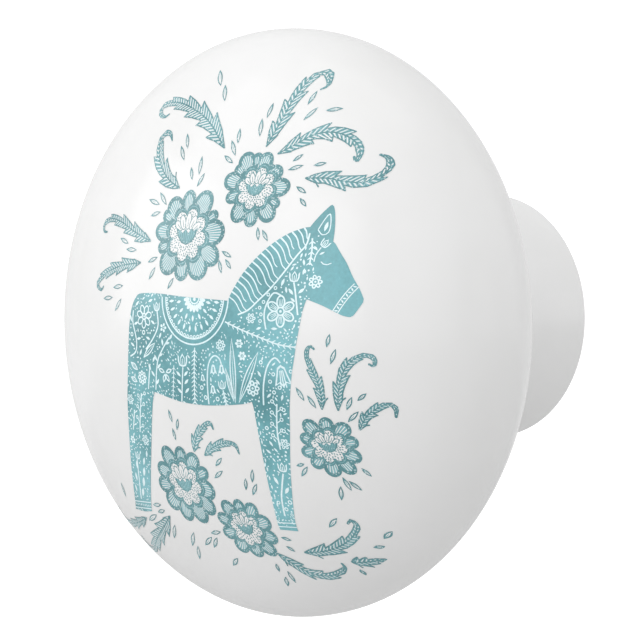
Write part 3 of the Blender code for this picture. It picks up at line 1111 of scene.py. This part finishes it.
# Each flower: its centre, its size, and each petal's place from there, half length and half width.
FLOWERS = [
    ((2.15, 5.75), 1.0, [(-1.4, 1.6, 0.85, 0.75), (-0.3, 2.05, 0.75, 0.6), (0.95, 1.85, 0.95, 0.8),
     (1.95, 1.15, 0.45, 0.4), (2.15, 0.15, 0.95, 0.85), (2.1, -1.2, 0.85, 0.7),
     (1.2, -1.9, 0.9, 0.85), (-0.15, -2.1, 0.75, 0.65), (-1.35, -1.6, 0.95, 0.85),
     (-2.05, -0.75, 0.5, 0.45), (-2.1, 0.2, 0.9, 0.65), (-2.0, 1.15, 0.5, 0.45)]),
    ((6.9, 8.6), 0.99, [(-1.15, 1.65, 0.65, 0.6), (-0.45, 1.8, 0.42, 0.4), (0.15, 1.5, 0.75, 0.6),
     (1.0, 0.85, 0.65, 0.6), (1.65, 0.05, 0.7, 0.6), (1.55, -0.9, 0.4, 0.35), (1.15, -1.45, 0.7, 0.6),
     (0.1, -1.8, 0.58, 0.5), (-0.8, -1.4, 0.75, 0.65), (-1.55, -0.5, 0.55, 0.45),
     (-1.8, 0.45, 0.72, 0.6), (-1.5, 1.15, 0.42, 0.42)]),
    ((11.95, -6.9), 0.97, [(-0.85, 1.15, 0.6, 0.5), (0.1, 1.35, 0.5, 0.45), (0.95, 1.05, 0.55, 0.5),
     (1.3, 0.3, 0.42, 0.42), (1.15, -0.55, 0.55, 0.5), (0.75, -1.25, 0.55, 0.45),
     (-0.1, -1.4, 0.55, 0.5), (-0.85, -1.0, 0.5, 0.45), (-1.25, -0.35, 0.5, 0.42),
     (-1.25, 0.45, 0.42, 0.4)]),
    ((0.74, -9.78), 0.94, [(-1.0, 1.7, 0.85, 0.7), (0.25, 1.85, 0.7, 0.6), (1.25, 1.5, 0.75, 0.65),
     (1.95, 0.8, 0.6, 0.5), (1.9, -0.3, 0.8, 0.72), (1.55, -1.35, 0.78, 0.68),
     (0.6, -1.85, 0.85, 0.75), (-0.7, -1.85, 0.8, 0.7), (-1.7, -1.2, 0.85, 0.75),
     (-2.15, -0.2, 0.7, 0.6), (-1.8, 0.75, 0.75, 0.65)]),
    ((4.77, -12.38), 0.9, [(-0.9, 1.3, 0.7, 0.6), (0.1, 1.5, 0.6, 0.5), (1.0, 1.3, 0.65, 0.55),
     (1.6, 0.5, 0.65, 0.6), (1.65, -0.5, 0.6, 0.55), (1.05, -1.3, 0.7, 0.6), (0.0, -1.45, 0.65, 0.6),
     (-1.0, -1.2, 0.7, 0.6), (-1.65, -0.4, 0.6, 0.5), (-1.65, 0.55, 0.6, 0.5)]),
]


def lobed(radius, depth, lobes=8):
    """A ring of round lobes. depth: how far the notches go in, as a share of the radius."""
    points = []
    for i in range(lobes * 8):
        turn = 2 * math.pi * i / (lobes * 8)
        reach = radius * (1 - depth + depth * abs(math.sin(lobes * turn / 2)) ** 0.7)
        points.append((reach * math.cos(turn), reach * math.sin(turn)))
    return points


def flower(art, centre, grow, petals):
    art.owner = "print_flowers"
    x, z = centre
    petals = [tuple(value * grow for value in petal) for petal in petals]
    size = sum(math.hypot(a, b) + c for a, b, c, _ in petals) / len(petals) / 2.75
    lean = [math.degrees(math.atan2(b, a)) for a, b, _, _ in petals]
    small = sorted(range(len(petals)), key=lambda i: petals[i][2])
    for i in small:
        a, b, long, wide = petals[i]
        art.fill(DEEP, oval(x + a, z + b, long, wide, lean[i], 22))
    art.fill(DEEP, moved(lobed(2.0, 0.1), x, z, 0, size))
    for i in small:
        a, b, long, wide = petals[i]
        rim = 0.24 * size**0.5
        inner = moved([(-rim * 0.35, 0)], x + a, z + b, lean[i])[0]
        fan = art.fill(PALE, oval(*inner, long - rim * 0.8, wide - rim, lean[i], 20))
        art.clip = fan
        strands = max(4, round(wide * 11))
        for k in range(strands):
            shift = (k - (strands - 1) / 2) * wide * 1.5 / strands
            start = moved([(-long, shift * 0.55)], *inner, lean[i])[0]
            end = moved([(long, shift * 1.35)], *inner, lean[i])[0]
            art.line(WHITE, [start, end], 0.03, 0.056, smooth=False)
        art.clip = None
    for tone, radius, depth in (
        (DEEP, 1.85, 0.24), (PALE, 1.7, 0.25), (DEEP, 1.65, 0.25), (WHITE, 1.5, 0.27)
    ):
        heart = art.fill(tone, moved(lobed(radius, depth), x, z, 12, size))
    art.clip = heart
    tries, reach, hollow, gap = 3000, 1.6, 0.62, 0.122
    dots = []
    for _ in range(tries):
        a, b = art.dice.uniform(-reach, reach) * size, art.dice.uniform(-reach, reach) * size
        if math.hypot(a, b) > hollow * size and all(math.dist((a, b), d) > gap for d in dots):
            dots.append((a, b))
            turn = math.degrees(math.atan2(b, a))
            art.lens(DEEP, x + a, z + b, 0.14, 0.08, turn + art.dice.uniform(-30, 30))
    art.clip = None
    flower_cup(art, x - 0.05 * size, z + 0.1 * size, size)


def flower_cup(art, x, z, size):
    """A bowl with tongues that stand up from it."""
    for a, b, turn, long in ((-0.72, 0.42, 140, 0.4), (-0.4, 0.62, 112, 0.46), (0.02, 0.7, 90, 0.5),
                             (0.42, 0.6, 66, 0.46), (0.72, 0.36, 40, 0.4)):
        px, pz = x + a * size, z + b * size
        art.fill(DEEP, oval(px, pz, long * size, 0.25 * size, turn, 16))
        art.fill(WHITE, oval(px, pz, long * size - 0.055, 0.25 * size - 0.055, turn, 16))
        rib = moved([(-0.3, 0), (0.14, 0)], px, pz, turn, size)
        art.line(DEEP, rib, 0.05, 0.03, smooth=False)
    bowl = [(-0.9, 0.3), (-0.72, -0.15), (-0.35, -0.55), (0.1, -0.68), (0.5, -0.5), (0.78, -0.1),
            (0.85, 0.35), (0.6, 0.1), (0.4, 0.3), (0.15, 0.0), (-0.1, 0.25), (-0.35, 0.0),
            (-0.6, 0.2)]
    art.fill(DEEP, moved(bowl, x, z, 0, size))
    cup = art.fill(PALE, moved([(a * 0.86, b * 0.84 - 0.01) for a, b in bowl], x, z, 0, size))
    art.clip = cup
    for i in range(11):
        a = -0.85 + 0.17 * i
        hatch = moved([(a * 0.5, -0.75), (a * 0.9, -0.2), (a * 1.1, 0.4)], x, z, 0, size)
        art.line(DEEP, hatch, 0.055)
    art.clip = None


# Each leaf: its width, and the line from its root to its hooked tip.
LEAVES = [
    (0.95, [(3.7, 11.1), (2.0, 12.5), (0.5, 13.3), (-1.5, 13.95), (-3.2, 14.15), (-4.1, 13.9),
     (-3.9, 13.4), (-3.2, 13.2), (-2.9, 13.35)]),
    (0.9, [(0.7, 8.65), (-0.7, 9.3), (-1.9, 10.3), (-2.6, 11.5), (-2.4, 12.1), (-1.8, 12.1),
     (-1.4, 11.7)]),
    (0.74, [(-1.2, 5.35), (-3, 5.9), (-4.7, 6.5), (-6.2, 6.75), (-7.1, 6.4), (-7.0, 5.95), (-6.6, 5.9)]),
    (0.7, [(-2.0, 4.0), (-4, 3.8), (-5.7, 3.4), (-6.8, 2.9), (-7.1, 2.5), (-6.6, 2.2), (-6.3, 2.4)]),
    (0.8, [(6.8, 11.15), (7.0, 12), (7.15, 13), (7.2, 14), (7.35, 15.1), (7.6, 15.7), (8.1, 15.7),
     (8.5, 15.3), (8.7, 14.9), (8.5, 14.7)]),
    (0.8, [(7.75, 10.7), (8.6, 11.2), (9.5, 11.8), (10.4, 12.0), (11.3, 11.8), (12.1, 11.3),
     (12.5, 10.7), (12.5, 10.2), (12.3, 10.45)]),
    (0.75, [(10.0, 9.2), (11.2, 9.2), (12.3, 9.0), (13.3, 8.95), (14.0, 9.4), (14.15, 9.9),
     (13.9, 10.4), (13.5, 10.6)]),
    (0.5, [(11.95, -4.65), (12.0, -3.9), (11.9, -3.1), (11.6, -2.3), (11.35, -1.6), (11.35, -1.1),
     (11.55, -0.85), (11.75, -1.0)]),
    (0.55, [(12.85, -4.7), (12.95, -3.9), (13.15, -3.0), (13.5, -2.1), (14.1, -1.5), (14.7, -1.35),
     (15.0, -1.6), (14.95, -2.0), (14.75, -1.9)]),
    (0.45, [(13.8, -5.85), (14.3, -5.0), (14.9, -4.5), (15.4, -4.25), (15.7, -4.5), (15.65, -5.0)]),
    (0.6, [(2.3, -7.65), (2.7, -6.8), (3.2, -6.3), (3.7, -5.9), (4.1, -5.8), (4.25, -6.1)]),
    (0.5, [(3.15, -7.85), (3.9, -7.35), (4.7, -7.05), (5.3, -6.95), (5.8, -7.1), (5.95, -7.55)]),
    (0.6, [(8.05, -13.75), (9.3, -13.6), (10.4, -13.2), (11.3, -12.6), (11.85, -11.9), (11.75, -11.5),
     (11.5, -11.7)]),
    (0.6, [(6.2, -13.9), (6.8, -14.5), (7.5, -15.1), (8.3, -15.3), (9.1, -15.1), (9.7, -14.7),
     (9.75, -14.45)]),
    (0.5, [(10.3, -14.3), (10.8, -14.3), (11.3, -14.22), (11.8, -14.1)]),
    (0.85, [(-1.95, -12.1), (-3.2, -12.9), (-4.5, -13.6), (-6.0, -14.4), (-7.2, -14.9), (-8.0, -14.6),
     (-8.1, -14.1)]),
    (0.52, [(-5.1, -12.5), (-6.5, -12.9), (-8.2, -13.2), (-9.6, -13.2), (-10.3, -12.7), (-10.2, -12.3)]),
]


ROOT_END = 0.13  # share of a leaf's length at which it is fully wide
TIP_START = 0.82  # and at which its thin hooked tip starts


def leaf_reach(share, width):
    """Half width of a leaf: quickly wide, then tapering to its hooked tip."""
    if share < ROOT_END:
        return width / 2 * share / ROOT_END
    if share < 0.5:
        return width / 2
    if share < TIP_START:
        return width / 2 * (1 - 0.62 * (share - 0.5) / 0.32)
    return width / 2 * 0.38 * (1 - (share - TIP_START) / 0.18) + 0.03


def leaf_edge(line, width, side, teeth):
    """One side of a leaf: long barbs that point to the tip."""
    edge = []
    ahead = 0.0 if side > 0 else 0.45
    for i in range(-1, teeth):
        for step, out in ((0.0, 0.55), (0.3, 0.78), (0.65, 1.0), (1.0, 1.28), (1.12, 1.42)):
            share = 0.8 * (i + step + ahead) / (teeth - 0.2)
            if share < ROOT_END:
                out = 0.85
            if 0.03 < share < TIP_START:
                x, z, turn = along(line, share)
                edge.append(moved([(0, side * leaf_reach(share, width) * out)], x, z, turn)[0])
    for i in range(7):
        share = 0.83 + 0.17 * i / 6
        x, z, turn = along(line, share)
        edge.append(moved([(0, side * leaf_reach(share, width))], x, z, turn)[0])
    return edge


def leaf(art, width, spine):
    """A feathery leaf: barbed edges, fine slanted veins and a thin hooked tip."""
    art.owner = "print_leaves"
    line = curve(spine, 0.1)
    length = sum(math.dist(a, b) for a, b in zip(line, line[1:]))
    teeth = max(3, round(length / (1.0 + 0.95 * width)))
    sides = [leaf_edge(line, width, side, teeth) for side in (1, -1)]
    body = art.fill(PALE, [line[0]] + sides[0] + sides[1][::-1])
    art.clip = body
    fine = min(1.0, width / 0.85) ** 0.6
    count = round(length / (0.15 * fine))
    for i in range(count):
        share = i / count
        x, z, turn = along(line, share)
        reach = leaf_reach(min(1.0, share + 0.05), width) * 1.45
        for side in (-1, 1):
            tip = moved([(reach * 1.1, side * reach)], x, z, turn)[0]
            tone, thick = (DEEP, 0.066 * fine) if i % 2 else (WHITE, 0.07 * fine * fine)
            art.line(tone, [(x, z), tip], thick, thick * 0.8, smooth=False)
    art.clip = None
    for edge in sides:
        art.line(DEEP, [line[0]] + edge, 0.085, 0.06, smooth=False)
    art.line(DEEP, line, 0.1 * fine, 0.07, smooth=False)
    x, z, turn = along(line, 1.0)
    art.fill(DEEP, oval(x, z, 0.1, 0.07, turn, 8))


# Each seed: x, z, length, and its turn in degrees.
SEEDS = [
    (0.5, 15.6, 1.5, -45), (1.75, 14.6, 1.3, -55), (0.2, 11.6, 1.1, -62), (0.1, 10.85, 1.2, -52),
    (1.5, 9.55, 0.9, -65), (2.1, 10.05, 1.2, -82), (2.45, 9.15, 0.95, 65), (-0.65, 8, 1.2, -42),
    (-1.5, 7.8, 1.25, -15), (-1.15, 7.05, 1, 15), (-4.15, 5.35, 1.1, -18), (-3.2, 4.8, 1.2, -2),
    (-0.8, 4.2, 1, 20), (-0.75, 3.35, 1, 55), (1.1, 2.75, 0.9, 55), (-4.4, 2.45, 1.2, 7),
    (-5.6, 1.7, 1.2, 5), (-4.3, 1.3, 1.1, 48), (5.6, 4.6, 0.9, -25), (5.2, 3.85, 0.9, -70),
    (5.8, 4, 0.8, -50), (6.02, 13.4, 0.95, -87), (5.9, 12.35, 1.2, -73), (4.5, 11.85, 1, -75),
    (4.4, 11.1, 1.2, -55), (4.3, 10.4, 1, -30), (8.3, 14.15, 0.9, 88), (8.75, 13.15, 0.95, 60),
    (9.95, 13.4, 0.9, 7), (9.15, 10.45, 0.7, 40), (9.2, 9.85, 0.95, 18), (10.6, 10.05, 0.75, 12),
    (9.95, 8.5, 0.85, -30), (10.25, 7.75, 0.75, -45), (7.7, 5.85, 0.85, -77), (8.2, 5.75, 0.85, -55),
    (12.6, -0.5, 0.85, 77), (12.85, -1.45, 1, 70), (10.75, -3.75, 0.95, -62), (11.4, -4.2, 0.9, -60),
    (13.5, -4.25, 0.9, 65), (14.2, -3.85, 0.7, 42), (13.6, -5.05, 0.95, 45), (10, -8.1, 0.55, 15),
    (10.15, -8.5, 0.85, 50), (13.55, -8.45, 0.65, -55), (12.35, -9.2, 0.9, -75),
    (12.75, -9.3, 0.8, -50), (11.85, -9.8, 0.95, 75), (6.55, -8.95, 0.9, 73), (5.9, -9.5, 0.8, 75),
    (6.45, -9.8, 0.95, 55), (10.7, -11.7, 0.95, 42), (7.35, -12.9, 0.65, -15), (7.3, -13.55, 0.55, -40),
    (12.15, -13.25, 0.55, 10), (12.95, -12.45, 0.8, 40), (10.3, -15, 0.45, 80), (5.6, -14.9, 0.6, 75),
    (6.1, -15.5, 0.85, 85), (5.5, -15.85, 0.8, 60), (0.65, -5.5, 0.85, -75), (1.2, -6, 0.8, 72),
    (0.75, -6.65, 0.8, -80), (4.2, -8.2, 0.9, 40), (3.95, -9, 1, 32), (-3, -11.45, 1, 5),
    (-2.75, -11.85, 0.95, 12), (-4.2, -12.4, 1.5, 20), (-2.2, -13.15, 1.3, 50), (-0.5, -13.5, 1.3, 50),
    (-0.6, -14.4, 1.15, 58), (1, -13.5, 1.2, 32), (1.6, -13.55, 1.05, 45), (2.05, -12.85, 1, 10),
    (2.5, -14.75, 1, 35), (-7.05, -10.8, 1, 88),
]


def seeds(art):
    art.owner = "print_seeds"
    for x, z, length, turn in SEEDS:
        width = 0.16 + 0.12 * length
        art.lens(DEEP, x, z, length, width, turn)
        hollow = art.lens(WHITE, x, z, length - 0.28, width - 0.15, turn)
        art.clip = hollow
        rib = moved([(-length * 0.4, 0), (length * 0.1, 0)], x, z, turn)
        art.line(PALE, rib, 0.05, 0.03, smooth=False)
        art.clip = None


def printed_picture(glaze):
    art = Ornament()
    for width, spine in LEAVES:
        leaf(art, width, spine)
    seeds(art)
    for centre, grow, petals in FLOWERS:
        flower(art, centre, grow, petals)
    horse(art)
    print_pieces(art, glaze)


# Light, floor and camera


BACKDROP = 0.6  # glow of the paper as the camera sees it
BOUNCE = 0.16  # glow of the paper as everything else sees it
VIEW_TURN = math.radians(47.1)
VIEW_RISE = math.radians(2.15)
VIEW_RIGHT = Vector((math.cos(VIEW_TURN), math.sin(VIEW_TURN), 0.0))
VIEW_AWAY = Vector((-math.sin(VIEW_TURN), math.cos(VIEW_TURN), 0.0))


def sweep_mesh(floor_z):
    """Paper that runs away from the camera along the floor and bends up into a wall."""
    near, far, height, curl, half_width = -0.9, 0.55, 0.9, 0.30, 1.2
    steps = 24
    profile = [(near, floor_z), (far - curl, floor_z)]
    for i in range(1, steps + 1):
        angle = math.pi / 2 * i / steps
        profile.append((far - curl + curl * math.sin(angle), floor_z + curl * (1 - math.cos(angle))))
    profile.append((far, height))
    verts = []
    for side in (-half_width, half_width):
        verts += [VIEW_RIGHT * side + VIEW_AWAY * out + Vector((0, 0, up)) for out, up in profile]
    count = len(profile)
    faces = [(i, i + 1, count + i + 1, count + i) for i in range(count - 1)]
    mesh = bpy.data.meshes.new("studio_sweep")
    mesh.from_pydata(verts, [], faces)
    mesh.shade_smooth()
    return mesh


def stage():
    floor_z = -0.085
    sweep = add_object("studio_sweep", sweep_mesh(floor_z))
    material, tree, shader, place = node_material("studio_paper")
    fibre = noise(tree, place, 600.0, 4.0)
    tone = ramp(tree, fibre, [(0.2, (0.60, 0.60, 0.60)), (0.8, (0.63, 0.63, 0.63))])
    split = add_node(tree, "SeparateXYZ", Vector=place)
    wall = remap(tree, split.outputs["Z"], floor_z + 0.001, floor_z + 0.008, 0.0, 1.0)
    # The paper looks burnt out but lights the object and shows in its glaze only faintly.
    ray = add_node(tree, "LightPath")
    seen = remap(tree, ray.outputs["Is Camera Ray"], 0.0, 1.0, BOUNCE, BACKDROP)
    feed(tree, shader, Base_Color=tone, Roughness=0.9, Emission_Color=(1.0, 1.0, 1.0, 1.0),
         Emission_Strength=product(tree, wall, seen))
    sweep.data.materials.append(material)


def aim(obj, place, target):
    """Puts a camera or a lamp at a place and points it at the target."""
    obj.location = place
    obj.rotation_euler = (Vector(place) - Vector(target)).to_track_quat("Z", "Y").to_euler()


def camera():
    distance = 10 * HEAD_RADIUS
    middle = Vector((0.0, RIM_Y + 0.2 * HEAD_RADIUS, 0.0))
    back = Vector((0.0, 0.0, math.sin(VIEW_RISE))) - VIEW_AWAY * math.cos(VIEW_RISE)
    up = back.cross(VIEW_RIGHT)
    data = bpy.data.cameras.new("view")
    data.lens = 161.8
    data.sensor_width = 36.0
    data.clip_start = 0.01
    view = add_object("view", data)
    target = middle - VIEW_RIGHT * 0.656 * MM - up * 0.043 * MM
    aim(view, middle + back * distance, target)
    bpy.context.scene.camera = view


# Each lamp: its name, place and size in metres, and power in watts.
LAMPS = [
    ("key", (-0.30, -0.86, 0.57), 1.3, 2.9),
    ("low", (-0.85, -0.65, 0.22), 0.55, 1.1),
    ("front", (0.10, -1.05, 0.30), 0.7, 1.15),
    ("top", (0.06, -0.20, 1.00), 0.9, 0.95),
    ("fill", (0.90, -0.50, 0.25), 0.8, 0.62),
    ("side", (0.95, 0.40, 0.13), 0.4, 0.2),
    ("rim", (0.50, 0.80, 0.30), 1.0, 0.65),
]


def lights():
    world = bpy.data.worlds.new("studio")
    world.use_nodes = True
    sky = world.node_tree.nodes["Background"]
    feed(world.node_tree, sky, Color=(1.0, 1.0, 1.0, 1.0), Strength=0.80)
    bpy.context.scene.world = world
    for name, place, size, power in LAMPS:
        data = bpy.data.lights.new(name, "AREA")
        data.size = size
        data.energy = power
        aim(add_object(name, data), place, (0.0, -0.02, 0.0))


def assign(obj, *materials):
    obj.data.materials.clear()
    for material in materials:
        obj.data.materials.append(material)


def knob(glaze):
    outline, glazed = knob_outline()
    body = turn("glazed_knob", outline, 192, lambda row: 0 if row < glazed else 1)
    assign(body, glaze, bisque())
    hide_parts("knob_body")
    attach(body, "knob")


bpy.context.scene.view_settings.view_transform = "Standard"
glaze = white_glaze()
knob(glaze)
printed_picture(glaze)
assign(washer(), zinc_plate("zinc_washer", 900.0))
assign(screw(), zinc_plate("zinc_screw", 1500.0))
assign(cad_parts["cement_bed"], cement())
assign(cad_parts["threaded_insert"], brass())
stage()
lights()
camera()
